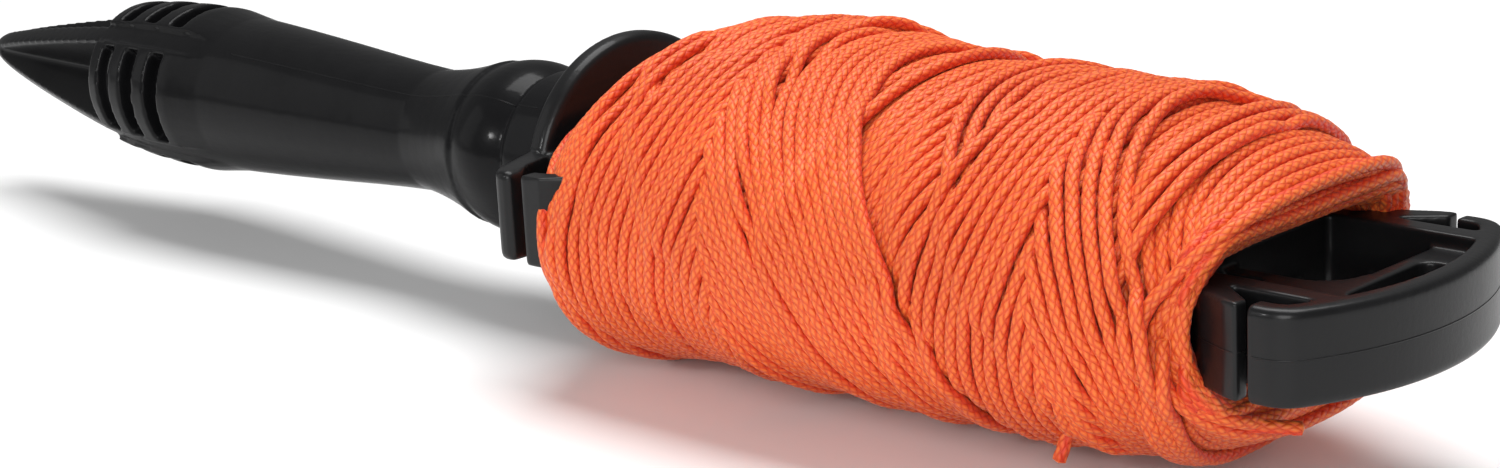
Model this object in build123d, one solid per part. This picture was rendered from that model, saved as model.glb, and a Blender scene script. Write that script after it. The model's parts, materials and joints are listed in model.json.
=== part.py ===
from build123d import *
import math
import os

# Mason's line reel: a flat moulded frame wound with braided line, and a grip that
# spins freely on a pin set in the frame. Millimetres.
# The functions below work from the nose tip: X along the spin axis, Y across the flat
# frame, Z through its thickness, with the spin axis at Y = Z = 0. main() then moves
# every node so that the origin is at the middle of the underside.

# --- driving dimensions ---
LENGTH = 279.6           # nose tip to the crown of the bow
FRAME_T = 10.6           # thickness of the frame through Z

# grip, from the nose backwards
FLUTE_START = 3.5        # the four nose flutes
FLUTE_END = 43.8
RIB_T = 3.0              # thickness of the four ribs between the flutes
NOSE_X, NOSE_R = 2.5, 2.5   # where the rounded tip ends
NOSE_SLOPE = 0.36
BELLY_X, BELLY_R = 62.0, 12.0
WAIST_X, WAIST_R = 117.5, 8.7
COLLAR_X, COLLAR_R = 131.4, 11.6
BALL_X, BALL_R = 137.0, 12.1
NECK_X, NECK_R = 142.7, 11.4
GRIP_END, GRIP_END_R = 154.7, 11.6
PAD_RISE = 0.7           # raised pad round each set of slots
PAD_START, PAD_END = 41.0, 75.0
PAD_SLOPE_START = 65.5
PAD_SLOPE_FOOT = (74.5, 11.5)
PAD_HALF_ANGLE = 36.5
SLOT_START = 46.8
SLOT_PITCH = 6.8
SLOT_W = 3.4
SLOT_FLOOR_R = 9.8
SLOT_HALF_ANGLE = 33.0
SLOTS = 3
QUADRANTS = 4
GRIP_TURN = 2.0          # turn of the grip about X, as it lies at rest
REACH = 30.0             # further out than any part of the grip

# swivel
PIN_R = 3.5
HEAD_R, HEAD_T = 6.0, 3.0
HEAD_X = 124.0           # front face of the pin's head
PIN_END = 170.0
HEAD_WASHER_T = 1.0
BORE_START, BORE_R = 122.0, 6.5
BUSH_START, BUSH_END = 128.3, 153.3
GUARD_WASHER_X, GUARD_WASHER_R = 153.7, 8.8
COUNTERBORE_R = 9.3
RUN_FIT = 0.06           # radial clearance of the pin in the bush

# frame, handle end
DISC_X0, DISC_X1, DISC_R = 155.0, 158.4, 18.2
DISC_RIM_R = 1.2
BLOCK_END = 171.0
BLOCK_HALF = 17.8
END_T = 11.6             # thickness of the handle end locks through Z
END_HALF = 27.3          # half width of the frame at the handle end locks
LIP_X = 162.7            # lip side of the slot's mouth
LIP_CORNER_R, LIP_EDGE_R = 1.0, 0.9
END_MOUTH = 2.0

# frame, rails and bow end
RAIL_IN, RAIL_OUT = 12.8, 15.8
RAIL_END = 272.6
CORE_WALL_X = 256.0      # inner face of the wall that closes the opening in the bow
CORE_WALL_T = 2.4
CORE_RIBS = (192.0, 222.0)
BOW_HALF = 21.3          # half width of the bow at its ends
BOW_END_X = 268.6
BOW_R = 37.0             # outer radius of the bow's crown in plan
BOW_CORNER_R = 4.6
BOW_T = 2.6
BOW_EDGE_R = 1.0
BOW_FINGER_X = 267.4     # free end of the bow end fingers
LEDGE_IN = 5.0           # inner edge of the two ledges
LEDGE_Z0, LEDGE_Z1 = 1.0, 3.5
LEDGE_CORNER_X, LEDGE_CORNER_R = 263.6, 5.2
LEDGE_NOTCH_X, LEDGE_NOTCH_Y = 261.5, 7.4
CROSS_X0, CROSS_X1 = 269.2, 271.2
CROSS_OPENING_HALF, CROSS_CORNER_R = 8.0, 1.8

# wound line: half height at stations along X, and how much wider than high it is
WIND_STATIONS = (
    (161.0, 15.5),
    (164.0, 18.4),
    (170.0, 21.0),
    (182.0, 22.0),
    (194.0, 22.6),
    (210.0, 21.6),
    (226.0, 21.2),
    (243.0, 20.5),
    (254.0, 18.9),
    (260.0, 17.4),
    (263.6, 15.4),
)
WIND_WIDER = 6.2
CORE_GAP = 0.2
FLARE_X = 250.0          # start of the flared mouth of the winding at the bow end
FLARE_HALF_Y, FLARE_HALF_Z = 21.5, 11.0
REST_TILT = 4.2          # lying down, the reel leans on the grip's belly, nose low
REST_X, REST_Z = 180.0, -21.3   # a point of the flat that the line is pressed to

HALF_T = FRAME_T / 2


def disc(x0, x1, r_out, r_in=0.0):
    """A disc or washer round the spin axis from x0 to x1."""
    face = Circle(r_out)
    if r_in:
        face -= Circle(r_in)
    return across(x0) * extrude(face, x1 - x0)


def across(x):
    """The plane across the spin axis at x: its own x is Y and its own y is Z."""
    return Plane(origin=(x, 0, 0), x_dir=(0, 1, 0), z_dir=(1, 0, 0))


def block(x0, x1, y0, y1, z0, z1):
    """A box between two corners."""
    size = (x1 - x0, y1 - y0, z1 - z0)
    return Pos((x0 + x1) / 2, (y0 + y1) / 2, (z0 + z1) / 2) * Box(*size)


def plate(face, thickness):
    """A face in X and Y made into a plate, evenly each side of Z = 0."""
    return Pos(0, 0, -thickness / 2) * extrude(face, thickness)


def outline(*points):
    return make_face(Polyline(*points, close=True))


def far_side(shape):
    """The twin of a near side shape on the far side."""
    return mirror(shape, about=Plane.XZ)


# --- grip ---
def barrel(rise=0.0):
    """The grip from the nose tip to the waist, grown outwards by rise."""
    nose_r = NOSE_R + rise
    belly = (BELLY_X, BELLY_R + rise)
    waist = (WAIST_X, WAIST_R + rise)
    sides = [
        Spline((0, 0), (NOSE_X, nose_r), tangents=[(0, 1), (1, NOSE_SLOPE)]),
        Spline(
            (NOSE_X, nose_r),
            (10, 4.6 + rise),
            (28, 8.3 + rise),
            (46, 11.2 + rise),
            belly,
            tangents=[(1, NOSE_SLOPE), (1, 0)],
        ),
        Spline(belly, (80, 11.3 + rise), (100, 9.85 + rise), waist, tangents=[(1, 0), (1, -0.04)]),
        Polyline(waist, (WAIST_X, 0), (0, 0)),
    ]
    return revolve(make_face(Curve() + sides), Axis.X)


def swivel_end():
    """The flared collar, the ball and the neck."""
    ball_start = (COLLAR_X + 0.5, COLLAR_R - 0.35)
    ball_end = (NECK_X - 0.4, NECK_R - 0.7)
    sides = [
        Spline((WAIST_X, WAIST_R), (124.5, 9.75), (COLLAR_X, COLLAR_R)),
        Line((COLLAR_X, COLLAR_R), ball_start),
        Spline(ball_start, (BALL_X, BALL_R), ball_end),
        Line(ball_end, (NECK_X, NECK_R)),
        Line((NECK_X, NECK_R), (GRIP_END, GRIP_END_R)),
        Polyline((GRIP_END, GRIP_END_R), (GRIP_END, 0), (WAIST_X, 0), (WAIST_X, WAIST_R)),
    ]
    return revolve(make_face(Curve() + sides), Axis.X)


def sector(x0, x1, half_angle):
    """A wedge round the spin axis, centred on the near side."""
    side = REACH * math.tan(math.radians(half_angle))
    face = outline((0, 0), (-REACH, side), (-REACH, -side))
    return across(x0) * extrude(face, x1 - x0)


def pad():
    """The raised pad of one quadrant, sloping down to the barrel behind its slots."""
    slope = outline((0, 0), (0, REACH), (PAD_SLOPE_START, BELLY_R + PAD_RISE), PAD_SLOPE_FOOT, (PAD_END, 0))
    return barrel(PAD_RISE) & sector(PAD_START, PAD_END, PAD_HALF_ANGLE) & revolve(slope, Axis.X)


def slot(x0):
    """The space of one slot of one quadrant."""
    x1 = x0 + SLOT_W
    return disc(x0, x1, REACH, SLOT_FLOOR_R) & sector(x0 - 1, x1 + 1, SLOT_HALF_ANGLE)


def flute():
    """The space of one flute of the nose, its corner line on the near side."""
    half = RIB_T / 2
    return Rot(135, 0, 0) * block(FLUTE_START, FLUTE_END, half, REACH, half, REACH)


def grip():
    """The whole spinning moulding, bored from behind for the swivel."""
    turns = [Rot(360 * k / QUADRANTS, 0, 0) for k in range(QUADRANTS)]
    body = barrel() + swivel_end()
    body += [turn * pad() for turn in turns]
    slots = [slot(SLOT_START + k * SLOT_PITCH) for k in range(SLOTS)]
    for turn in turns:
        body -= [turn * space for space in slots]
        body -= turn * flute()
    body -= disc(BORE_START, GRIP_END + 1, BORE_R)
    body -= disc(BUSH_END, GRIP_END + 1, COUNTERBORE_R)
    return Rot(-GRIP_TURN, 0, 0) * body


# --- swivel ---
def swivel_pin():
    """Steel pin: a head inside the grip and a shank pressed into the frame."""
    shank_start = HEAD_X + HEAD_T
    return disc(HEAD_X, shank_start, HEAD_R) + disc(shank_start, PIN_END, PIN_R)


def head_washer():
    x0 = HEAD_X + HEAD_T
    return disc(x0, x0 + HEAD_WASHER_T, HEAD_R, PIN_R)


def neck_bush():
    return disc(BUSH_START, BUSH_END, BORE_R, PIN_R + RUN_FIT)


def guard_washer():
    return disc(GUARD_WASHER_X, DISC_X0, GUARD_WASHER_R, PIN_R)


# --- frame, handle end ---
def guard_disc():
    body = disc(DISC_X0, DISC_X1, DISC_R, PIN_R)
    rims = body.edges().filter_by(GeomType.CIRCLE).filter_by(lambda e: e.radius > DISC_R - 0.1)
    return fillet(rims, DISC_RIM_R)


def pin_block():
    """The block behind the disc that holds the pin."""
    body = block(DISC_X1, BLOCK_END, -BLOCK_HALF, BLOCK_HALF, -HALF_T, HALF_T)
    return body - disc(DISC_X1 - 1, PIN_END, PIN_R)


def end_lip():
    """Near side lip of the handle end line lock, an arm from the disc to the mouth."""
    face = outline(
        (DISC_X1, -BLOCK_HALF),
        (160.0, -BLOCK_HALF),
        (160.4, -19.5),
        (161.2, -22.4),
        (LIP_X, -24.8),
        (LIP_X, -END_HALF),
        (160.6, -END_HALF),
        (159.2, -26.2),
        (157.2, -21.6),
        (DISC_X0 + 0.4, -17.0),
    )
    body = plate(face, END_T)
    outer = [e for e in body.edges().filter_by(Axis.Z) if e.center().Y < -26]
    body = fillet(outer, LIP_CORNER_R)
    rims = [e for e in body.edges() if is_lip_rim(e)]
    body = fillet(rims, LIP_EDGE_R)
    return body - disc(DISC_X0 - 1, DISC_X1, DISC_R)


def is_lip_rim(edge):
    """Whether an edge runs along the top or bottom of the lip's outer side."""
    mid = edge @ 0.5
    flat = abs(abs(mid.Z) - END_T / 2) < 0.01
    return flat and mid.Y < -25 and mid.X < LIP_X - 0.1


def end_finger():
    """Near side finger of the handle end line lock, sprung from the rail."""
    return chamfer(plate(end_finger_face(), END_T).faces().sort_by(Axis.X)[0].edges(), 0.5)


def end_finger_face():
    x = LIP_X + END_MOUTH
    return outline(
        (x, -END_HALF),
        (x + 3.6, -END_HALF + 0.3),
        (x + 8.6, -22.4),
        (x + 14.2, -RAIL_OUT),
        (x + 8.6, -RAIL_OUT),
        (x + 6.4, -20.2),
        (x + 3.0, -24.2),
        (x, -END_HALF + 2.3),
    )


# --- frame, rails and bow end ---
def rail():
    """Near side rail of the core, from the block to the bow."""
    body = block(BLOCK_END, LENGTH, -RAIL_OUT, -RAIL_IN, -HALF_T, HALF_T)
    return body & plate(bow_face(BOW_T), FRAME_T)


def bow_face(inset):
    """Everything inside the bow's edge, with the edge set in by inset."""
    crown_x = LENGTH - BOW_R
    crown = Pos(crown_x, 0) * Circle(BOW_R - inset)
    half = BOW_HALF - inset
    strip = Pos(crown_x, 0) * Rectangle(4 * BOW_R, 2 * half)
    face = crown & strip
    corners = [v for v in face.vertices() if v.X > crown_x]
    face = fillet(corners, BOW_CORNER_R - inset)
    return face + Pos(crown_x - 2 * BOW_R, 0) * Rectangle(4 * BOW_R, 2 * half)


def bow():
    """The curved bar across the end of the frame."""
    band = bow_face(0) - bow_face(BOW_T)
    body = plate(band, FRAME_T) & block(BOW_END_X, LENGTH + 1, -REACH, REACH, -REACH, REACH)
    skin = [e for e in body.edges() if is_bow_rim(e)]
    return fillet(skin, BOW_EDGE_R)


def is_bow_rim(edge):
    """Whether an edge runs along the top or bottom of the bow's outside."""
    mid = edge @ 0.5
    flat = abs(abs(mid.Z) - HALF_T) < 0.01
    past_end = mid.X > BOW_END_X + 0.05
    inside = bow_face(BOW_T - 0.1)
    return flat and past_end and not inside.is_inside((mid.X, mid.Y, 0))


def bow_finger():
    """Near side finger of the bow end line lock."""
    return plate(bow_finger_face(), FRAME_T)


def bow_finger_face():
    return outline(
        (257.4, -RAIL_OUT),
        (262.6, -RAIL_OUT),
        (BOW_FINGER_X, -19.3),
        (BOW_FINGER_X, -21.3),
        (265.6, -20.9),
        (261.4, -19.0),
    )


def core_wall():
    """The wall between the rails that closes the opening in the bow."""
    return block(CORE_WALL_X - CORE_WALL_T, CORE_WALL_X, -RAIL_IN, RAIL_IN, -HALF_T, HALF_T)


def core_rib(x):
    """A rib that ties the rails together under the winding."""
    return block(x, x + CORE_WALL_T, -RAIL_IN, RAIL_IN, -HALF_T, HALF_T)


def ledge():
    """Near side ledge along the rail, notched at the wall and hooked at the cross rib."""
    body = block(CORE_WALL_X, CROSS_X0, -RAIL_IN, -LEDGE_IN, LEDGE_Z0, LEDGE_Z1)
    corner = block(LEDGE_CORNER_X, CROSS_X0, -LEDGE_IN, 0.2, LEDGE_Z0, LEDGE_Z1)
    body += corner - Pos(LEDGE_CORNER_X, 0.2, 0) * Cylinder(LEDGE_CORNER_R, REACH)
    return body - block(CORE_WALL_X - 1, LEDGE_NOTCH_X, -RAIL_IN - 1, -LEDGE_NOTCH_Y, -REACH, REACH)


def cross_rib():
    """The rib between the two openings in the bow, with a web at each end of the second one."""
    middle = (CROSS_X0 + LENGTH) / 2
    face = bow_face(BOW_T) & Pos(middle, 0) * Rectangle(LENGTH - CROSS_X0, 2 * RAIL_IN)
    opening = Pos((CROSS_X1 + LENGTH) / 2, 0) * Rectangle(LENGTH - CROSS_X1, 2 * CROSS_OPENING_HALF)
    corners = [v for v in opening.vertices() if v.X < middle]
    return plate(face - fillet(corners, CROSS_CORNER_R), 2 * LEDGE_Z1)


# --- line ---
def winding():
    """The wound line: an oval barrel round the core, hollow where the frame runs."""
    sections = [across(x) * Ellipse(half + WIND_WIDER, half) for x, half in WIND_STATIONS]
    body = loft(sections, ruled=True)
    y = RAIL_OUT + CORE_GAP
    z = HALF_T + CORE_GAP
    body -= block(0, LENGTH, -y, y, -z, z)
    body -= block(0, BLOCK_END + CORE_GAP, -BLOCK_HALF - CORE_GAP, BLOCK_HALF + CORE_GAP, -z, z)
    mouth = [
        across(FLARE_X) * Rectangle(2 * y, 2 * z),
        across(WIND_STATIONS[-1][0]) * Rectangle(2 * FLARE_HALF_Y, 2 * FLARE_HALF_Z),
    ]
    body -= loft(mouth, ruled=True)
    finger_room = plate(offset(end_finger_face(), CORE_GAP), END_T + 2 * CORE_GAP)
    body -= [finger_room, far_side(finger_room)]
    under_flat = block(-LENGTH, LENGTH, -LENGTH, LENGTH, -LENGTH, 0)
    return body - Pos(REST_X, 0, REST_Z) * Rot(0, REST_TILT, 0) * under_flat


def main():
    nodes = {
        "spinning_grip": grip(),
        "neck_bush": neck_bush(),
        "swivel_pin": swivel_pin(),
        "head_washer": head_washer(),
        "guard_washer": guard_washer(),
        "guard_disc": guard_disc(),
        "pin_block": pin_block(),
        "core_wall": core_wall(),
        "cross_rib": cross_rib(),
        "bow": bow(),
        "line_winding": winding(),
        "ledge_near": ledge(),
        "ledge_far": Rot(180, 0, 0) * ledge(),
    }
    for k, x in enumerate(CORE_RIBS):
        nodes[f"core_rib_{k + 1}"] = core_rib(x)
    pairs = {"rail": rail(), "end_lip": end_lip(), "end_finger": end_finger(), "bow_finger": bow_finger()}
    for name, shape in pairs.items():
        nodes[f"{name}_near"] = shape
        nodes[f"{name}_far"] = far_side(shape)

    floor = nodes["line_winding"].bounding_box().min.Z
    to_origin = Pos(-LENGTH / 2, 0, -floor)
    os.makedirs("parts", exist_ok=True)
    for name, shape in nodes.items():
        export_step(to_origin * shape, f"parts/{name}.step")


if __name__ == "__main__":
    main()
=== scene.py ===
import bpy
import json
import math
import numpy as np
from mathutils import Matrix, Vector

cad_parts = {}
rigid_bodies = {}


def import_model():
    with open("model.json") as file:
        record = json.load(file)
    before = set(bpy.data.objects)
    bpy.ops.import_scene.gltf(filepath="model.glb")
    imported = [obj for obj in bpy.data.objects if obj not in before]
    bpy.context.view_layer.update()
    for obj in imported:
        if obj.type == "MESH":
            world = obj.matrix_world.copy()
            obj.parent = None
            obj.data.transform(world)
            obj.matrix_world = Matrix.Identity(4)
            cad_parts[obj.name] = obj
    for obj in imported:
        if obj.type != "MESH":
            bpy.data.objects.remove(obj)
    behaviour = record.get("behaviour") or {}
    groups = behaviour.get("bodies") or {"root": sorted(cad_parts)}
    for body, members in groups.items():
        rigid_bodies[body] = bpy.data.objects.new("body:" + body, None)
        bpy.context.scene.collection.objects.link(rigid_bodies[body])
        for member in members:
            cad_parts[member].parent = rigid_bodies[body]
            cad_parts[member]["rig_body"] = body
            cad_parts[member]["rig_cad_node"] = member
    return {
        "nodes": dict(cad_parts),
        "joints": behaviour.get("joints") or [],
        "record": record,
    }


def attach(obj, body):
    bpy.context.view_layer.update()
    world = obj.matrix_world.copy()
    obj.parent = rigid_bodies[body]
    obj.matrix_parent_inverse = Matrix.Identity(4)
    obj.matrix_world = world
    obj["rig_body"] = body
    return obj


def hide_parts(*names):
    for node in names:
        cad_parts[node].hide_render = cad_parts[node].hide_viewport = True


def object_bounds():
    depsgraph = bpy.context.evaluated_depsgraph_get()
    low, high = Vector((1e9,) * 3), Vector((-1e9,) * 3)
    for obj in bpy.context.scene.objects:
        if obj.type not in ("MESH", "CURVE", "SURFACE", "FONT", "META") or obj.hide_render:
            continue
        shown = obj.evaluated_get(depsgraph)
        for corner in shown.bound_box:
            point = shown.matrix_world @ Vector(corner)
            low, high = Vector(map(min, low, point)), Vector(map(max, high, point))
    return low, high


# A mason's line reel: the frame and the grip are smoothed mouldings made from the CAD nodes,
# and the winding is made of tubes laid turn on turn, each resting on what lies under it.

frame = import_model()
CAD_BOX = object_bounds()

MM = 0.001
NOSE_X = CAD_BOX[0].x                       # the nose tip, where lengths along the reel start
AXIS_Z = frame["joints"][0]["pos_m"][2]     # height of the spin axis
KEPT_ON_PIN = ("swivel_pin", "head_washer", "guard_washer")
FRAME_NODES = [node for node in frame["record"]["behaviour"]["bodies"]["reel"]
               if node not in KEPT_ON_PIN + ("line_winding",)]
rng = np.random.default_rng(7)


def place(points):
    """Points in mm from the nose tip and the spin axis, as points of the scene."""
    return np.asarray(points, float) * MM + np.array([NOSE_X, 0, AXIS_Z])


def add_to_scene(name, data):
    """A new object of the scene that holds the data."""
    thing = bpy.data.objects.new(name, data)
    bpy.context.scene.collection.objects.link(thing)
    return thing


# --- camera ---
VIEW_AZIMUTH = math.radians(45.09)
VIEW_ELEVATION = math.radians(15.19)
VIEW_ROLL = math.radians(-3.09)
VIEW_DISTANCE = 0.3658
AIM = (177.5, 0, -6.09)                     # mm from the nose tip and the spin axis
LENS, SENSOR = 68.405, 36.0


def view_axes(azimuth, elevation, roll):
    """The camera's right, up and backward directions."""
    back = Vector((math.sin(azimuth) * math.cos(elevation),
                   -math.cos(azimuth) * math.cos(elevation),
                   math.sin(elevation)))
    level = Vector((math.cos(azimuth), math.sin(azimuth), 0))
    right = math.cos(roll) * level + math.sin(roll) * back.cross(level)
    return right, back.cross(right), back


def make_camera():
    right, up, back = view_axes(VIEW_AZIMUTH, VIEW_ELEVATION, VIEW_ROLL)
    data = bpy.data.cameras.new("camera")
    data.lens = LENS
    data.sensor_width = SENSOR
    data.clip_start = 0.01
    camera = add_to_scene("camera", data)
    turned = Matrix((right, up, back)).transposed().to_4x4()
    turned.translation = Vector(place(AIM)) + VIEW_DISTANCE * back
    camera.matrix_world = turned
    bpy.context.scene.camera = camera


# --- light and floor ---
LIGHTS = [                                  # name, place and size in metres, watts
    ("top_box", (0.02, 0.12, 0.75), (0.8, 0.45), 7.0),
    ("front_box", (0.50, -0.70, 0.35), (0.45, 0.45), 4.0),
    ("small_lamp", (-0.16, -0.62, 0.29), (0.06, 0.06), 0.7),
    ("left_box", (-0.65, -0.45, 0.30), (0.35, 0.5), 0.3),
]
LIGHTS_AIM = (0.02, 0, 0.02)
SURROUND = 0.22                             # strength of the even light from all sides
FLOOR_HALF, FLOOR_DROP = 4.0, 0.0005        # half its side, and how far it lies under the object


def area_light(name, at, size, power):
    data = bpy.data.lights.new(name, "AREA")
    data.shape = "RECTANGLE"
    data.size, data.size_y = size
    data.energy = power
    light = add_to_scene(name, data)
    light.location = at
    light.rotation_euler = (Vector(at) - Vector(LIGHTS_AIM)).to_track_quat("Z", "Y").to_euler()


def make_lights():
    for light in LIGHTS:
        area_light(*light)
    world = bpy.data.worlds.new("studio")
    world.use_nodes = True
    background = world.node_tree.nodes["Background"]
    background.inputs["Color"].default_value = (1, 1, 1, 1)
    background.inputs["Strength"].default_value = SURROUND
    bpy.context.scene.world = world
    bpy.context.scene.view_settings.view_transform = "Standard"


def make_floor():
    mesh = bpy.data.meshes.new("floor")
    corners = [(-1, -1), (1, -1), (1, 1), (-1, 1)]
    mesh.from_pydata([(x * FLOOR_HALF, y * FLOOR_HALF, 0) for x, y in corners], [], [(0, 1, 2, 3)])
    floor = add_to_scene("floor", mesh)
    floor.location.z = -FLOOR_DROP
    material = bpy.data.materials.new("floor_white")
    material.use_nodes = True
    shader = material.node_tree.nodes["Principled BSDF"]
    shader.inputs["Base Color"].default_value = (0.9, 0.9, 0.9, 1)
    shader.inputs["Roughness"].default_value = 0.9
    mesh.materials.append(material)


# --- materials ---
class Shade:
    """A small helper that builds a material's node tree."""

    def __init__(self, name):
        self.material = bpy.data.materials.new(name)
        self.material.use_nodes = True
        self.nodes = self.material.node_tree.nodes
        self.links = self.material.node_tree.links
        self.shader = self.nodes["Principled BSDF"]

    def add(self, kind, inputs=None, **settings):
        node = self.nodes.new(kind)
        for key, value in settings.items():
            setattr(node, key, value)
        for key, value in (inputs or {}).items():
            if isinstance(value, bpy.types.NodeSocket):
                self.links.new(value, node.inputs[key])
            else:
                node.inputs[key].default_value = value
        return node

    def where(self):
        """The place on the object, in metres."""
        return self.add("ShaderNodeTexCoord").outputs["Object"]

    def noise(self, scale, detail, roughness, vector):
        inputs = {"Scale": scale, "Detail": detail, "Roughness": roughness, "Vector": vector}
        return self.add("ShaderNodeTexNoise", inputs).outputs["Fac"]

    def ramp(self, fac, stops):
        """Colours between two or more stops, each a position and a colour."""
        node = self.add("ShaderNodeValToRGB", {"Fac": fac})
        ramp = node.color_ramp
        while len(ramp.elements) < len(stops):
            ramp.elements.new(0.5)
        for element, (position, color) in zip(ramp.elements, stops):
            element.position = position
            element.color = (*color, 1)
        return node.outputs["Color"]

    def mix(self, fac, a, b, blend="MIX"):
        node = self.add("ShaderNodeMix", {0: fac, 6: a, 7: b}, data_type="RGBA", blend_type=blend)
        return node.outputs[2]

    def math(self, operation, a, b=0.0):
        return self.add("ShaderNodeMath", {0: a, 1: b}, operation=operation).outputs["Value"]

    def bump(self, height, strength, distance, normal=None):
        inputs = {"Height": height, "Strength": strength, "Distance": distance}
        if normal is not None:
            inputs["Normal"] = normal
        return self.add("ShaderNodeBump", inputs).outputs["Normal"]

    def link(self, output, name):
        self.links.new(output, self.shader.inputs[name])

    def set_values(self, values):
        """Sets values that are the same all over the surface."""
        for name, value in values.items():
            self.shader.inputs[name].default_value = value


def grey(value):
    return (value, value, value)


PLASTIC_DARK, PLASTIC_PALE = (0.0045, 0.0045, 0.005), (0.008, 0.008, 0.0085)
DUST = (0.20, 0.19, 0.18, 1)
SCUFFED = (0.62, 0.62, 0.62, 1)             # the roughness of a scuff


def black_plastic(name, shine, gloss, speck_amount):
    """Moulded black plastic: a faint orange peel, scuffs, and dust specks."""
    m = Shade(name)
    where = m.where()
    peel = m.noise(1300.0, 3.0, 0.6, where)
    cloud = m.noise(55.0, 5.0, 0.65, where)
    stretch = {"Vector": where, "Scale": (1.0, 14.0, 9.0), "Rotation": (0.3, 0.2, 0.5)}
    scuff = m.noise(120.0, 6.0, 0.7, m.add("ShaderNodeMapping", stretch).outputs["Vector"])
    scuff_mask = m.ramp(scuff, [(0.62, grey(0)), (0.72, grey(1))])
    specks = m.add("ShaderNodeTexVoronoi", {"Vector": where, "Scale": 420.0, "Randomness": 1.0})
    near = m.ramp(specks.outputs["Distance"], [(0.05, grey(1)), (0.14, grey(0))])
    chosen = m.math("GREATER_THAN", specks.outputs["Color"], 1.0 - speck_amount)
    speck = m.math("MULTIPLY", near, chosen)
    base = m.ramp(cloud, [(0.3, PLASTIC_DARK), (0.75, PLASTIC_PALE)])
    m.link(m.mix(speck, base, DUST), "Base Color")
    rough = m.ramp(cloud, [(0.3, grey(shine)), (0.8, grey(shine + 0.10))])
    m.link(m.mix(m.math("MULTIPLY", scuff_mask, 0.5), rough, SCUFFED), "Roughness")
    peeled = m.bump(peel, 0.12, 0.00012)
    scuffed = m.bump(scuff, 0.10, 0.0003, peeled)
    m.link(m.bump(speck, 0.6, 0.0002, scuffed), "Normal")
    m.set_values({"Specular IOR Level": gloss, "Coat Weight": 0.16, "Coat Roughness": 0.12})
    return m.material


def turned_steel(name):
    """Plain turned steel: fine rings round the axis, a few dull patches."""
    m = Shade(name)
    where = m.where()
    waves = {"Vector": where, "Scale": 900.0, "Distortion": 0.4}
    rings = m.add("ShaderNodeTexWave", waves, wave_type="BANDS", bands_direction="X")
    dull = m.noise(180.0, 4.0, 0.6, where)
    m.link(m.ramp(dull, [(0.35, (0.50, 0.49, 0.47)), (0.7, (0.62, 0.61, 0.60))]), "Base Color")
    m.link(m.ramp(dull, [(0.35, grey(0.28)), (0.75, grey(0.46))]), "Roughness")
    m.link(m.bump(rings.outputs["Fac"], 0.25, 0.00003), "Normal")
    m.set_values({"Metallic": 1.0})
    return m.material


def nylon(name):
    """Natural white nylon, faintly mottled and waxy."""
    m = Shade(name)
    where = m.where()
    mottle = m.noise(220.0, 4.0, 0.6, where)
    m.link(m.ramp(mottle, [(0.35, (0.60, 0.57, 0.50)), (0.7, (0.70, 0.68, 0.62))]), "Base Color")
    m.link(m.ramp(mottle, [(0.35, grey(0.36)), (0.75, grey(0.50))]), "Roughness")
    m.link(m.bump(m.noise(1400.0, 2.0, 0.5, where), 0.15, 0.00005), "Normal")
    return m.material


# --- the braid, in nodes for the colour and in numbers for the shape ---
BRAID_PERIOD = 1.60                         # mm along the line
CARRIERS = 5                                # yarns each way round the line
ACROSS_POWER, ALONG_POWER = 1.0, 0.30       # how a yarn falls off to its sides and to its ends
# the line's colour by the height of its braid: painted shade in the crevices, the line's own orange
# between, and a painted highlight on the yarn crowns
LINE_CREVICE_SHADE = (0.73, 0.072, 0.016)
LINE_MID = (0.82, 0.122, 0.022)
LINE_CROWN_HIGHLIGHT = (0.93, 0.212, 0.042)
# mostly painted shade on the line's sides between the turns, partly a deeper dye there
LINE_FLANK_SHADE = (0.92, 0.42, 0.55)             # how much of its colour the line keeps at its sides


def braid(u, v):
    """Height from 0 to 1 of a braid at u turns of its pattern along and v turns round."""
    p = CARRIERS * v + u
    q = CARRIERS * v - u
    odd = (np.floor(p) + np.floor(q)) % 2
    from_p, from_q = p - np.floor(p) - 0.5, q - np.floor(q) - 0.5
    across = np.where(odd == 0, from_p, from_q)
    along = np.where(odd == 0, from_q, from_p)
    return np.cos(np.pi * across) ** ACROSS_POWER * np.cos(np.pi * along) ** ALONG_POWER


def braid_nodes(m, u, v):
    """The same braid in nodes: its height, and the places across and along one yarn."""
    rounds = m.math("MULTIPLY", v, float(CARRIERS))
    p, q = m.math("ADD", rounds, u), m.math("SUBTRACT", rounds, u)
    from_p = m.math("SUBTRACT", m.math("FRACT", p), 0.5)
    from_q = m.math("SUBTRACT", m.math("FRACT", q), 0.5)
    cell = m.math("ADD", m.math("FLOOR", p), m.math("FLOOR", q))
    odd = m.math("FLOORED_MODULO", cell, 2.0)
    swap = m.math("MULTIPLY", odd, m.math("SUBTRACT", from_q, from_p))
    across, along = m.math("ADD", from_p, swap), m.math("SUBTRACT", from_q, swap)
    ridge = m.math("POWER", m.math("COSINE", m.math("MULTIPLY", across, math.pi)), ACROSS_POWER)
    span = m.math("POWER", m.math("COSINE", m.math("MULTIPLY", along, math.pi)), ALONG_POWER)
    return m.math("MULTIPLY", ridge, span), across, along


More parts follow.
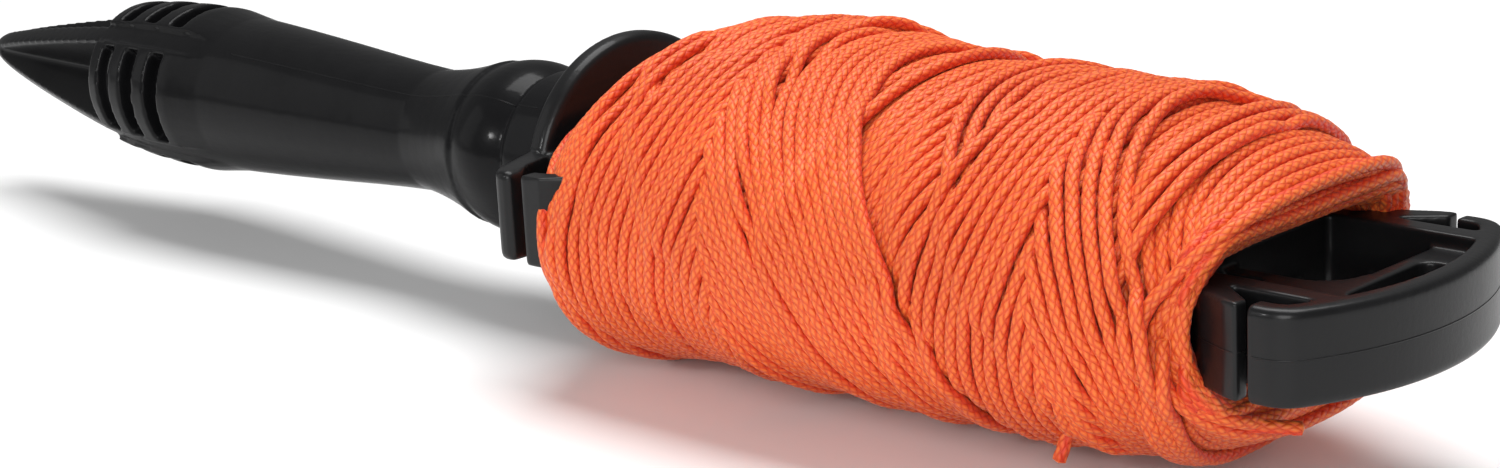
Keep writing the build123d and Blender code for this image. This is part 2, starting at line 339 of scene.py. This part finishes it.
def line_material():
    """Braided polyester: painted shade deep in the crevices and on the line's sides between the turns,
    and a painted highlight on the yarns, which show their filaments.
    """
    m = Shade("braided_line")
    uv = m.add("ShaderNodeSeparateXYZ", {0: m.add("ShaderNodeUVMap", uv_map="braid").outputs["UV"]})
    height, across, along = braid_nodes(m, uv.outputs["X"], uv.outputs["Y"])
    in_yarn = {0: m.math("MULTIPLY", across, 9.0), 1: along, 2: uv.outputs["X"]}
    fibre = m.noise(1.6, 3.0, 0.6, m.add("ShaderNodeCombineXYZ", in_yarn).outputs["Vector"])
    patch = m.noise(60.0, 3.0, 0.5, m.where())
    # painted shade in the braid's crevices and a painted highlight on its crowns
    shade = m.ramp(height, [(0.0, LINE_CREVICE_SHADE), (0.55, LINE_MID), (1.0, LINE_CROWN_HIGHLIGHT)])
    faded = m.ramp(patch, [(0.35, (0.90, 0.86, 0.84)), (0.7, grey(1))])
    strands = m.ramp(fibre, [(0.3, (0.86, 0.84, 0.82)), (0.65, grey(1))])
    # painted shade on the line's sides, between the turns, partly a deeper dye there
    side = m.add("ShaderNodeAttribute", attribute_name="flank").outputs["Fac"]
    flank_shade = m.ramp(side, [(0.72, grey(1)), (0.98, LINE_FLANK_SHADE)])
    yarns = m.mix(1.0, m.mix(1.0, shade, faded, "MULTIPLY"), strands, "MULTIPLY")
    m.link(m.mix(1.0, yarns, flank_shade, "MULTIPLY"), "Base Color")
    m.link(m.bump(fibre, 0.25, 0.00005, m.bump(height, 0.7, 0.00016)), "Normal")
    m.set_values({"Roughness": 0.46, "Specular IOR Level": 0.35,
                  "Sheen Weight": 0.06, "Sheen Roughness": 0.4})
    return m.material


# --- mouldings from the CAD nodes ---
def bare_copy(node):
    """A copy of a CAD node that is tied to no body."""
    copy = frame["nodes"][node].copy()
    copy.data = copy.data.copy()
    copy.parent = None
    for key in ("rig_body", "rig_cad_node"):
        if key in copy:
            del copy[key]
    bpy.context.scene.collection.objects.link(copy)
    return copy


def joined(name, copies):
    """The copies as one object, which is left active."""
    for other in bpy.context.selected_objects:
        other.select_set(False)
    for copy in copies:
        copy.select_set(True)
    piece = copies[0]
    bpy.context.view_layer.objects.active = piece
    if len(copies) > 1:
        bpy.ops.object.join()
    piece.name = name
    piece.data.name = name
    piece.data.materials.clear()
    return piece


def moulding(name, nodes, voxel, smooth_steps, material, body):
    """One smooth moulded piece with eased edges, made from CAD nodes that meet face to face."""
    piece = joined(name, [bare_copy(node) for node in nodes])
    remesh = piece.modifiers.new("remesh", "REMESH")
    remesh.mode = "VOXEL"
    remesh.voxel_size = voxel
    ease = piece.modifiers.new("ease", "SMOOTH")
    ease.factor = 0.5
    ease.iterations = smooth_steps
    bpy.ops.object.modifier_apply(modifier="remesh")
    bpy.ops.object.modifier_apply(modifier="ease")
    piece.data.materials.append(material)
    piece.data.polygons.foreach_set("use_smooth", [True] * len(piece.data.polygons))
    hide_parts(*nodes)
    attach(piece, body)
    return piece


def finish_cad(material, slot, *nodes):
    """Gives CAD nodes that are kept as they are a material of their own."""
    for node in nodes:
        piece = frame["nodes"][node]
        piece.data.materials.clear()
        piece.data.materials.append(material)


# --- the winding: where it lies, in mm ---
LINE_R = 0.8
LAID_R = LINE_R * 0.97                      # turns press into each other a little
# outer outline of the winding, as (distance from the nose, half height, height of its middle)
OUTLINE = np.array([
    (162.5, 6.6, 0.0), (160.8, 10.0, -1.5), (160.6, 12.8, -2.5), (162.0, 15.0, -2.8),
    (165.0, 17.8, -2.4), (169.0, 20.2, -1.8), (175.0, 21.2, -0.8), (184.0, 21.3, 0.6),
    (194.0, 21.9, 0.9), (204.0, 21.2, 0.4), (214.0, 20.7, -0.4), (228.0, 20.4, -0.1),
    (238.0, 20.4, 0.1), (246.0, 19.9, 0.1), (253.0, 18.4, -0.3), (258.5, 17.0, 0.0),
    (262.4, 15.2, 0.4), (264.3, 13.2, 0.5), (264.2, 10.8, 0.3), (262.2, 8.4, 0.0),
    (258.4, 6.6, 0.0)])
CORE_HALF_Y, CORE_HALF_Z = 16.6, 6.0
FULL_OVER_CORE = 11.0                       # from this much over the core the section is an oval
CORE_BOXINESS = 1.6                         # how much over 2, an oval's, its power is at the core
WIDER = 6.5                                 # how much wider than high the full winding is
# the sides at the two ends: how far they stand back, and from where and over what length of the
# outline, counted from its end, that fades out
SIDE_SHIFT_GRIP, GRIP_STRETCH = 6.0, (4, 16)
SIDE_SHIFT_BOW, BOW_STRETCH = -4.0, (5, 14)
GRIP_END_WIDER, SWELL_STRETCH = 0.20, (6, 20)   # the same for a swell of the sides, as a share
STEP_S = 0.2                                # from row to row of the surface grid
COLUMNS = 720                               # columns of the grid round the winding
UNROLL_X = 215.0             # where the unrolled distance along the outline is the true one
BEDDING, FACE_BEDDING = 4.6, 2.2            # of turns laid on the bed, and on the end faces
FACES_X = (166.0, 259.0)                    # the end faces lie beyond these distances
DEEPEST_BED = 7.0
BED_BLUR = 20                               # rows
EXCESS_BLUR = (12, 24)                      # rows and columns
OUTLINE_SLACK = 0.05


def bell(reach, sigma):
    """Weights of a bell curve, which add up to 1."""
    weights = np.exp(-0.5 * (np.arange(-reach, reach + 1) / sigma) ** 2)
    return weights / weights.sum()


def fade(distance, stretch):
    """1 up to the stretch's start, and 0 from its length further on."""
    start, length = stretch
    return np.clip(1 - (distance - start) / length, 0, 1)


def distances(points):
    """How far along the points' path each of them is."""
    return np.r_[0, np.cumsum(np.linalg.norm(np.diff(points, axis=0), axis=1))]


def smooth_curve(points, step):
    """A Catmull-Rom curve through the points, resampled every step."""
    p = np.vstack([2 * points[0] - points[1], points, 2 * points[-1] - points[-2]])
    out = []
    for i in range(1, len(p) - 2):
        t = np.linspace(0, 1, 40, endpoint=False)[:, None]
        a, b, c, d = p[i - 1], p[i], p[i + 1], p[i + 2]
        out.append(0.5 * (2 * b + (c - a) * t + (2 * a - 5 * b + 4 * c - d) * t ** 2
                          + (3 * b - a - 3 * c + d) * t ** 3))
    fine = np.vstack(out + [points[-1:]])
    run = distances(fine)
    s = np.arange(0, run[-1], step)
    return np.stack([np.interp(s, run, fine[:, k]) for k in range(fine.shape[1])], axis=1)


def oval(half, phi):
    """A cross-section of half height half, boxier near the core: (across, up) at the angles phi."""
    full = np.clip((half - CORE_HALF_Z) / FULL_OVER_CORE, 0, 1)
    wide = half + WIDER + (1 - full) * (CORE_HALF_Y - CORE_HALF_Z - WIDER)
    power = 2.0 + CORE_BOXINESS * (1 - full)
    c, s = np.cos(phi), np.sin(phi)
    reach = (np.abs(c) ** power + np.abs(s) ** power) ** (-1 / power)
    return -wide * reach * c, half * reach * s


def smear(grid, sigma, axis):
    """A grid blurred along one axis; round the winding it wraps, along it the edges repeat."""
    reach = 3 * sigma
    pads = [(0, 0), (0, 0)]
    pads[axis] = (reach, reach)
    padded = np.pad(grid, pads, mode="wrap" if axis else "edge")
    return np.apply_along_axis(np.convolve, axis, padded, bell(reach, sigma), "valid")


class Pile:
    """The outer surface of the winding as a grid, with the height of what is laid on it.

    The grid's rows run along the outline, over both end faces, and its columns go round from the
    near side over the top.
    """

    def __init__(self):
        self.curve = smooth_curve(OUTLINE, STEP_S)
        self.rows = len(self.curve)
        self.s = np.arange(self.rows) * STEP_S
        self.columns = np.arange(COLUMNS)
        self.phi = self.columns * 2 * np.pi / COLUMNS
        self.points = self.find_points()
        self.normals = self.find_normals()
        at_end = (self.curve[:, 0] < FACES_X[0]) | (self.curve[:, 0] > FACES_X[1])
        bed = smear(np.where(at_end, FACE_BEDDING, BEDDING)[:, None], BED_BLUR, 0)
        self.sink = -np.repeat(bed, COLUMNS, axis=1)
        self.height = self.sink.copy()
        past_face = self.rows // 5
        self.anchor = np.interp(UNROLL_X, self.curve[past_face:, 0], self.s[past_face:])

    def find_points(self):
        x, half, middle = self.curve[:, :1], self.curve[:, 1:2], self.curve[:, 2:]
        y, z = oval(half, self.phi[None, :])
        s = self.s[:, None]
        grip_end = fade(s, GRIP_STRETCH) ** 1.5
        bow_end = fade(self.s[-1] - s, BOW_STRETCH) ** 1.5
        side = np.abs(np.cos(self.phi))[None, :]
        x = x + side ** 4 * (SIDE_SHIFT_GRIP * grip_end + SIDE_SHIFT_BOW * bow_end)
        y = y * (1 + GRIP_END_WIDER * side ** 2 * fade(s, SWELL_STRETCH))
        return np.stack([x, y, z + middle], axis=2)

    def find_normals(self):
        along = np.gradient(self.points, axis=0)
        wrapped = np.concatenate([self.points[:, -1:], self.points, self.points[:, :1]], axis=1)
        onward = (wrapped[:, 2:] - wrapped[:, :-2]) / 2
        normal = np.cross(along, onward)
        normal /= np.linalg.norm(normal, axis=2, keepdims=True)
        middle = self.rows // 2
        outward = np.sign(np.sum(normal[middle, 0, 1:] * self.points[middle, 0, 1:]))
        return normal * outward

    def settle(self):
        """Sinks the bed under the turns so that the finished pile meets its outline everywhere."""
        excess = smear(smear(self.height, EXCESS_BLUR[0], 0), EXCESS_BLUR[1], 1)
        self.sink = np.clip(self.sink - excess - OUTLINE_SLACK, -DEEPEST_BED, 0)
        self.height = self.sink.copy()

    def s_at(self, x):
        """Arc position of x, a distance from the nose that runs on down both end faces, unrolled."""
        return self.anchor + (x - UNROLL_X)

    def sample(self, grid, s, phi):
        """Bilinear sample of a grid at arc positions s and angles phi."""
        i = np.clip(s / STEP_S, 0, self.rows - 1.001)
        j = (phi / (2 * np.pi) * COLUMNS) % COLUMNS
        i0, j0 = i.astype(int), j.astype(int)
        part_i, part_j = (i - i0), (j - j0)
        j1 = (j0 + 1) % COLUMNS
        if grid.ndim == 3:
            part_i, part_j = part_i[:, None], part_j[:, None]
        here = grid[i0, j0] * (1 - part_j) + grid[i0, j1] * part_j
        further = grid[i0 + 1, j0] * (1 - part_j) + grid[i0 + 1, j1] * part_j
        return here * (1 - part_i) + further * part_i

    def rows_near(self, s, slope, reach):
        """The rows beside a turn at arc positions s, each with its distance from the turn."""
        squeeze = 1 / np.sqrt(1 + slope ** 2)
        base = np.round(s / STEP_S).astype(int)
        for k in range(-reach, reach + 1):
            yield np.clip(base + k, 0, self.rows - 1), (k * STEP_S + base * STEP_S - s) * squeeze

    def rest_height(self, ground, s, slope):
        """The height at which one turn of line rests on the ground, a grid of heights."""
        rest = np.full(len(s), -np.inf)
        for row, off in self.rows_near(s, slope, int(LAID_R / STEP_S)):
            under = np.sqrt(np.clip(LAID_R ** 2 - off ** 2, 0, None))
            rest = np.maximum(rest, ground[row, self.columns] + under)
        return rest

    def stamp(self, ground, s, slope, rest):
        """Raises the ground to the top of one turn of line."""
        for row, off in self.rows_near(s, slope, int(LAID_R / STEP_S) + 2):
            inside = np.abs(off) < LAID_R
            top = rest[inside] + np.sqrt(LAID_R ** 2 - off[inside] ** 2)
            np.maximum.at(ground, (row[inside], self.columns[inside]), top)


BRIDGE = 5                                  # columns each way that a taut line bridges
TAUT_REACH, TAUT_SIGMA = 12, 5.0            # columns
OVERLAP = 40                                # columns repeated so that a turn has no ends


def tension(height):
    """The height that a taut line keeps over the bumps under it: it bridges the hollows."""
    ring = np.concatenate([height[-OVERLAP:], height, height[:OVERLAP]])
    ring = np.pad(ring, BRIDGE, mode="edge")
    high = np.lib.stride_tricks.sliding_window_view(ring, 2 * BRIDGE + 1).max(axis=1)
    high = np.pad(high, TAUT_REACH, mode="edge")
    smooth = np.convolve(high, bell(TAUT_REACH, TAUT_SIGMA), mode="valid")
    return smooth[OVERLAP:OVERLAP + len(height)]


# --- the winding: the groups of turns ---
PITCH = 1.68                                # mm from turn to turn
TURN_DRIFT = 0.14                           # mm that a turn strays from its place
SLOW_WAVE, QUICK_WAVE = 0.10, 0.06          # mm, two waves in the course of a turn
CLIMB = 2.75                                # highest climb over the last layer, in line radii
FAN_DRIFT = 6.0                             # how many times more a fan's turns stray
FAN_LIFT = 0.35                             # mm that they stray outwards or inwards
FAN_LIFT_MOST = 0.2                         # mm outwards
BUNCH_DEPTH = 1.6                           # mm that a bunch's oldest turns lie under its newest
END_MARGIN = 1.0                            # mm of the outline that stays bare at either end


def wander(count, scale):
    """A slow random drift, one value for each turn."""
    steps = rng.normal(0, 1, count + 8)
    kernel = np.array([0.2, 0.5, 1.0, 0.5, 0.2])
    return scale * np.convolve(steps, kernel, mode="same")[4:4 + count] / 1.3


class Group:
    """Turns laid side by side: each a tilted loop, a little further along than the last.

    first and last are the unrolled distances of the first and last turn where it passes the
    near and far sides; tilt leans a turn, and bulge moves it back where it crosses the flats.
    """

    def __init__(self, first, last, tilt, bulge=(0, 0), turns=None):
        self.turns = turns or int(abs(last - first) / PITCH)
        self.first, self.last = first, last
        self.tilt, self.bulge = tilt, bulge
        self.drift = wander(self.turns + 2, TURN_DRIFT)
        self.slow_phase, self.quick_phase, _ = rng.uniform(0, 2 * np.pi, 3)
        self.paths = []

    def path(self, turn):
        """Distances from the nose of one turn, one for each column."""
        around = np.arange(COLUMNS) / COLUMNS
        phi = 2 * np.pi * around
        part = (turn + around) / self.turns
        centre = self.first + (self.last - self.first) * part
        tilt = self.tilt[0] + (self.tilt[1] - self.tilt[0]) * part
        bulge = self.bulge[0] + (self.bulge[1] - self.bulge[0]) * part
        drift = np.interp(around, [0, 1], self.drift[turn:turn + 2])
        slow = SLOW_WAVE * np.sin(2 * phi + self.slow_phase)
        quick = QUICK_WAVE * np.sin(5 * phi + self.quick_phase + turn)
        return centre + tilt * np.sin(phi) - bulge * np.sin(phi) ** 2 + drift + slow + quick


class Fan(Group):
    """Turns that are bunched at the sides of the frame and spread out over its flats.

    side is where the bunch starts, slots how many turns lie side by side in it, and spread the
    unrolled distances of the first and last turn over the flats. depth is how far the fan lies
    under the outline of the winding.
    """

    def __init__(self, side, slots, spread, turns, depth):
        super().__init__(side, side, (0, 0), turns=turns)
        self.side, self.slots, self.spread, self.depth = side, slots, spread, depth
        self.flat = 1 - np.cos(np.arange(COLUMNS) * 2 * np.pi / COLUMNS) ** 4
        self.lift = wander(self.turns + 2, FAN_LIFT)

    def wound(self, turn):
        """How many turns are wound at each column."""
        return turn + np.arange(COLUMNS) / COLUMNS

    def path(self, turn):
        wound = self.wound(turn)
        back_and_forth = np.abs((wound + self.slots) % (2 * self.slots) - self.slots)
        in_bunch = self.side + PITCH * back_and_forth
        on_flat = self.spread[0] + (self.spread[1] - self.spread[0]) * wound / self.turns
        drift = np.interp(wound - turn, [0, 1], self.drift[turn:turn + 2])
        return in_bunch * (1 - self.flat) + (on_flat + FAN_DRIFT * drift) * self.flat

    def height(self, turn):
        """A fan lies at a set depth, the older turns of its bunch under the newer ones."""
        wound = self.wound(turn)
        under = np.minimum(1.5 * (self.turns - wound) / self.slots, BUNCH_DEPTH)
        lift = np.interp(wound - turn, [0, 1], self.lift[turn:turn + 2])
        return np.minimum(lift, FAN_LIFT_MOST) - LINE_R - self.depth - under * (1 - self.flat)


def winding_plan():
    """The layers of the winding from the inside out, each with the name of its pieces."""
    return {
        "line_base_grip": [Group(190, 172, (8, 2), (0, 3)), Group(180, 206, (-8, -8), (3, 0))],
        "line_base_bow": [Group(238, 204, (8, 8)), Group(228, 257, (-8, -3), (0, 3))],
        "line_end_grip": [Fan(164.6, 3, (172, 154), 12, 1.0), Fan(163.6, 3, (171.5, 153), 15, 0.0)],
        "line_end_bow": [Fan(258.0, 3, (250, 281), 14, 1.6), Fan(259.0, 3, (251.5, 281.5), 16, 0.2),
                         Fan(257.0, 2, (279, 264), 5, -0.1)],
        "line_right": [Group(252, 225.5, (5.5, 4.5)), Group(238, 259.5, (-12.5, -3.2), (3, 8.5))],
        "line_left": [Group(204, 169.4, (10.5, 3.5)), Group(191, 227.5, (-13, -10.7), (4, 8))],
    }


def turn_height(pile, group, turn, s, slope, before, ground):
    """The height of one turn: a fan's is set, and another turn rests on the ground, kept taut."""
    if isinstance(group, Fan):
        return group.height(turn)
    limit = pile.sample(before, s, pile.phi) + CLIMB * LINE_R
    return tension(np.minimum(pile.rest_height(ground, s, slope), limit))


def lay_groups(pile, groups):
    """Lays groups of turns, a turn of each in its turn, as when winding crosswise.

    A turn rests on the bed and on the other groups, and lies beside the turns of its own.
    """
    ring = pile.points[pile.rows // 2]
    around = np.linalg.norm(np.roll(ring, -1, axis=0) - ring, axis=1)
    before = pile.height.copy()
    grounds = [pile.height.copy() for _ in groups]
    for turn in range(max(group.turns for group in groups)):
        for own, group in enumerate(groups):
            if turn >= group.turns:
                continue
            s = np.clip(pile.s_at(group.path(turn)), END_MARGIN, pile.s[-1] - END_MARGIN)
            slope = np.gradient(s) / around
            rest = turn_height(pile, group, turn, s, slope, before, grounds[own])
            group.paths.append((s, rest))
            for other, ground in enumerate(grounds):
                if other != own:
                    pile.stamp(ground, s, slope, rest)
            pile.stamp(pile.height, s, slope, rest)


def lay_all(pile, layers):
    """Lays every layer of groups, first to find how thick they come out, then for good."""
    for final in (False, False, True):
        for groups in layers:
            for group in groups:
                group.paths = []
            lay_groups(pile, groups)
        if not final:
            pile.settle()


EASE_REACH, EASE_SIGMA = 9, 4.0             # columns over which a path is smoothed
TUCK_DEPTH, TUCK_COLUMNS = 2.2, 60          # how far a group's two ends dive, and over how many


def eased(values):
    padded = np.pad(values, EASE_REACH, mode="edge")
    return np.convolve(padded, bell(EASE_REACH, EASE_SIGMA), mode="valid")


def centreline(pile, group):
    """The group's whole path as points and outward normals, in mm."""
    s = eased(np.concatenate([path[0] for path in group.paths]))
    height = eased(np.concatenate([path[1] for path in group.paths]))
    phi = np.tile(pile.phi, len(group.paths))
    from_end = np.minimum(np.arange(len(s)), np.arange(len(s))[::-1])
    tuck = np.clip(from_end / TUCK_COLUMNS, 0, 1)
    height = height - TUCK_DEPTH * (1 - tuck) ** 2
    normal = pile.sample(pile.normals, s, phi)
    normal /= np.linalg.norm(normal, axis=1, keepdims=True)
    return pile.sample(pile.points, s, phi) + height[:, None] * normal, normal


INNER_LAYERS = 5
INNER_X = (165.0, 256.5)                    # mm from the nose
INNER_PITCH = 1.66                          # mm
INNER_UNDER = 3.7                           # mm from the outline to the uppermost of them
INNER_POINTS = 90                           # points for each turn


def inner_layers(pile):
    """The turns under the visible ones: plain helical layers from the core outwards."""
    runs = []
    low, high = INNER_X
    turns = int((high - low) / INNER_PITCH)
    phi = np.linspace(0, 2 * np.pi * turns, turns * INNER_POINTS)
    for layer in range(INNER_LAYERS):
        part = (layer + 0.5) / INNER_LAYERS
        x = low + (high - low) * phi / phi[-1]
        x = x if layer % 2 == 0 else x[::-1]
        outer = np.interp(pile.s_at(x), pile.s, pile.curve[:, 1]) - INNER_UNDER - LINE_R
        half = CORE_HALF_Z + LINE_R + (outer - CORE_HALF_Z - LINE_R) * part
        y, z = oval(half, phi)
        runs.append((np.stack([x, y, z], axis=1), np.stack([0 * x, y, z], axis=1)))
    return runs


# cut ends that show: unrolled distance, degrees round, heading, mm that it goes on from there
LOOSE_ENDS = {
    "line_cut_stub": (242.2, 310.0, (-0.25, -0.25, -0.93), 2.2),
    "line_cut_tail": (265.5, 304.0, (0.60, 0.75, 0.10), 5.0),
}
END_BURIED = 2.5                            # mm of a loose end before that point
END_RISE = 3.0                              # how far it rises along its length, in line radii


def loose_end(pile, x, angle, heading, free):
    """A short end of line that comes up out of the pile as it runs along its heading."""
    s, phi = np.array([pile.s_at(x)]), np.array([math.radians(angle)])
    root, out = pile.sample(pile.points, s, phi)[0], pile.sample(pile.normals, s, phi)[0]
    heading = np.array(heading) / np.linalg.norm(heading)
    share = np.linspace(0, 1, 12)[:, None]
    rise = LINE_R * (END_RISE * (share - 1) + 1)
    points = root + (share * (free + END_BURIED) - END_BURIED) * heading + rise * out
    across = np.cross(heading, out)
    return points, np.repeat(across[None] / np.linalg.norm(across), len(points), axis=0)


# --- tubes ---
RELIEF = 0.06                               # mm, how far the braid stands out
MEAN_HEIGHT = 0.45                          # of the braid, from 0 to 1
LINE_SIZE = (0.78, 0.785)                   # mm, half the height and half the width of the line
FINE_TUBE, COARSE_TUBE = (0.42, 12), (0.8, 8)   # mm from ring to ring, and sides
INNER_TUBE = (2.5, 6)
CAP = 0.4                                   # how far an end is domed, in half heights
TWIST_DRIFT = 0.02                          # how unevenly the line is twisted


def unit(vectors):
    return vectors / np.linalg.norm(vectors, axis=1, keepdims=True)


def follow(points, normals, step):
    """A run resampled every step: distances, points, and the ways along, up and to the side."""
    run = distances(points)
    s = np.arange(0, run[-1], step)
    p = np.stack([np.interp(s, run, points[:, k]) for k in range(3)], axis=1)
    up = unit(np.stack([np.interp(s, run, normals[:, k]) for k in range(3)], axis=1))
    along = unit(np.gradient(p, axis=0))
    up = unit(up - np.sum(up * along, axis=1, keepdims=True) * along)
    return s, p, along, up, np.cross(along, up)


def tube_points(run, twist, sides, size, relief):
    """The points of a tube's rings, then the tips of its two ends."""
    s, p, along, up, beside = run
    v = np.arange(sides) / sides
    braided = relief * (braid(s[:, None] / BRAID_PERIOD, v[None, :] + twist[:, None]) - MEAN_HEIGHT)
    rise = (size[0] + braided) * np.cos(2 * np.pi * v)
    reach = (size[1] + braided) * np.sin(2 * np.pi * v)
    rings = p[:, None] + rise[:, :, None] * up[:, None] + reach[:, :, None] * beside[:, None]
    tips = [p[0] - CAP * size[0] * along[0], p[-1] + CAP * size[0] * along[-1]]
    return np.vstack([rings.reshape(-1, 3), tips])


def tube_faces(rings, sides, start):
    """The quads between a tube's rings, and the triangles that close its ends."""
    i = np.arange(rings - 1)[:, None] * sides + start
    j = np.arange(sides)[None, :]
    after = (j + 1) % sides
    corners = [i + j, i + after, i + sides + after, i + sides + j]
    quads = np.stack(corners, axis=2).reshape(-1, 4)
    last, tip = start + (rings - 1) * sides, start + rings * sides
    near_end = np.stack([0 * j + tip, start + after, start + j], axis=2)
    far_end = np.stack([0 * j + tip + 1, last + j, last + after], axis=2)
    return quads, np.vstack([near_end[0], far_end[0]])


def tube_uv(twist, step, sides):
    """Turns of the braid's pattern along and turns round, at each corner of each quad."""
    ring = np.arange(len(twist) - 1)[:, None, None] + np.array([0, 0, 1, 1])
    side = np.arange(sides)[None, :, None] + np.array([0, 1, 1, 0])
    v = side / sides + twist[ring]
    u = np.broadcast_to(ring * step / BRAID_PERIOD, v.shape)
    return np.stack([u, v], axis=3).reshape(-1, 2)


def twist_of(rings, step):
    """How far round the braid is turned at each ring."""
    start = rng.uniform(0, 1)
    return start + TWIST_DRIFT * np.cumsum(rng.normal(0, 1, rings)) * math.sqrt(step)


def tube(name, runs, step, sides, size, relief):
    """One piece of closed tubes along the runs, each run (points, normals) in mm."""
    points, quads, triangles, uv, flank = [], [], [], [], []
    around = np.abs(np.sin(2 * np.pi * np.arange(sides) / sides))
    start = 0
    for run_points, run_normals in runs:
        run = follow(run_points, run_normals, step)
        rings = len(run[0])
        twist = twist_of(rings, step)
        points.append(tube_points(run, twist, sides, size, relief))
        run_quads, run_triangles = tube_faces(rings, sides, start)
        quads.append(run_quads)
        triangles.append(run_triangles)
        uv.append(tube_uv(twist, step, sides))
        flank.append(np.concatenate([np.tile(around, rings), [0, 0]]))
        start += rings * sides + 2
    return build(name, *(np.concatenate(part) for part in (points, quads, triangles, uv, flank)))


def build(name, points, quads, triangles, uv, flank):
    """A piece with these faces, its braid coordinates, and how far to the side each point is."""
    mesh = bpy.data.meshes.new(name)
    mesh.vertices.add(len(points))
    mesh.vertices.foreach_set("co", place(points).ravel())
    mesh.loops.add(quads.size + triangles.size)
    mesh.loops.foreach_set("vertex_index", np.concatenate([quads.ravel(), triangles.ravel()]))
    mesh.polygons.add(len(quads) + len(triangles))
    starts = np.concatenate([np.arange(0, quads.size, 4), quads.size + np.arange(0, triangles.size, 3)])
    mesh.polygons.foreach_set("loop_start", starts)
    mesh.polygons.foreach_set("use_smooth", np.ones(len(starts), bool))
    mesh.update(calc_edges=True)
    # the end caps sit on a yarn crown, so they take its painted highlight
    on_yarn = np.tile((0, 0.5 / CARRIERS), (triangles.size, 1))
    layer = mesh.uv_layers.new(name="braid")
    layer.data.foreach_set("uv", np.concatenate([uv, on_yarn]).ravel())
    mesh.attributes.new("flank", "FLOAT", "POINT").data.foreach_set("value", flank)
    mesh.validate()
    return add_to_scene(name, mesh)


def finish_line(piece, material):
    piece.data.materials.append(material)
    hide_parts("line_winding")
    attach(piece, "reel")


def make_winding(material):
    """Lays the line, makes its pieces, and prints how long it is."""
    pile = Pile()
    plan = winding_plan()
    lay_all(pile, plan.values())
    length = 0.0
    for name, groups in plan.items():
        coarse = "base" in name
        for number, group in enumerate(groups, 1):
            run = centreline(pile, group)
            length += distances(run[0])[-1]
            kind = COARSE_TUBE if coarse else FINE_TUBE
            finish_line(tube(f"{name}_{number}", [run], *kind, LINE_SIZE, RELIEF), material)
    inner = inner_layers(pile)
    length += sum(distances(points)[-1] for points, _ in inner)
    finish_line(tube("line_inner", inner, *INNER_TUBE, LINE_SIZE, 0.0), material)
    for name, end in LOOSE_ENDS.items():
        finish_line(tube(name, [loose_end(pile, *end)], *FINE_TUBE, LINE_SIZE, RELIEF), material)
    print("line length m", round(length * MM, 2))


# --- mould seams ---
SEAM_SIZE = (0.06, 0.11)                    # mm, half the height and half the width of the ridge
SEAM_TUBE = (0.5, 6)
GRIP_SEAM_ANGLE = math.radians(47)          # from the near side upwards
GRIP_SEAM_X = (78.0, 147.0)                 # mm from the nose
BOW_SEAM_CENTRE = np.array([240.0, 0, 0])   # mm from the nose
BOW_SEAM_HALF = 62                          # degrees each way from straight ahead
OUTSIDE_GRIP, OUTSIDE_BOW = 40.0, 60.0      # mm out from the axis and from that centre


def seam(name, piece, origins, directions, body):
    """The thin ridge that a mould leaves, where rays from outside meet the piece."""
    world = piece.matrix_world
    back = world.inverted()
    points, normals = [], []
    for origin, direction in zip(place(origins), directions):
        heading = (back.to_3x3() @ Vector(direction)).normalized()
        hit, at, normal, _ = piece.ray_cast(back @ Vector(origin), heading)
        if hit:
            points.append(world @ at)
            normals.append((world.to_3x3() @ normal).normalized())
    points = (np.array(points) - place((0, 0, 0))) / MM
    ridge = tube(name, [(points, np.array(normals))], *SEAM_TUBE, SEAM_SIZE, 0.0)
    ridge.data.materials.append(piece.data.materials[0])
    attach(ridge, body)


def grip_seams(grip):
    x = np.arange(*GRIP_SEAM_X, 0.4)
    for name, angle in (("grip_seam_near", GRIP_SEAM_ANGLE),
                        ("grip_seam_far", GRIP_SEAM_ANGLE + math.pi)):
        out = np.array([0, -math.cos(angle), math.sin(angle)])
        origins = np.stack([x, 0 * x, 0 * x], axis=1) + OUTSIDE_GRIP * out
        seam(name, grip, origins, np.tile(-out, (len(x), 1)), "grip")


def bow_seam(reel):
    angle = np.radians(np.arange(-BOW_SEAM_HALF, BOW_SEAM_HALF + 0.5, 0.5))
    out = np.stack([np.cos(angle), np.sin(angle), 0 * angle], axis=1)
    seam("bow_seam", reel, BOW_SEAM_CENTRE + OUTSIDE_BOW * out, -out, "reel")


# --- everything ---
make_camera()
make_lights()
make_floor()
frame_plastic = black_plastic("frame_plastic", 0.36, 0.20, 0.030)
grip_plastic = black_plastic("grip_plastic", 0.30, 0.05, 0.018)
reel = moulding("frame_moulding", FRAME_NODES, 0.0003, 3, frame_plastic, "reel")
grip = moulding("grip_moulding", ["spinning_grip"], 0.00036, 6, grip_plastic, "grip")
grip_seams(grip)
bow_seam(reel)
make_winding(line_material())
finish_cad(turned_steel("turned_steel"), "pin_steel", "swivel_pin", "head_washer")
finish_cad(nylon("natural_nylon"), "bush_nylon", "neck_bush", "guard_washer")
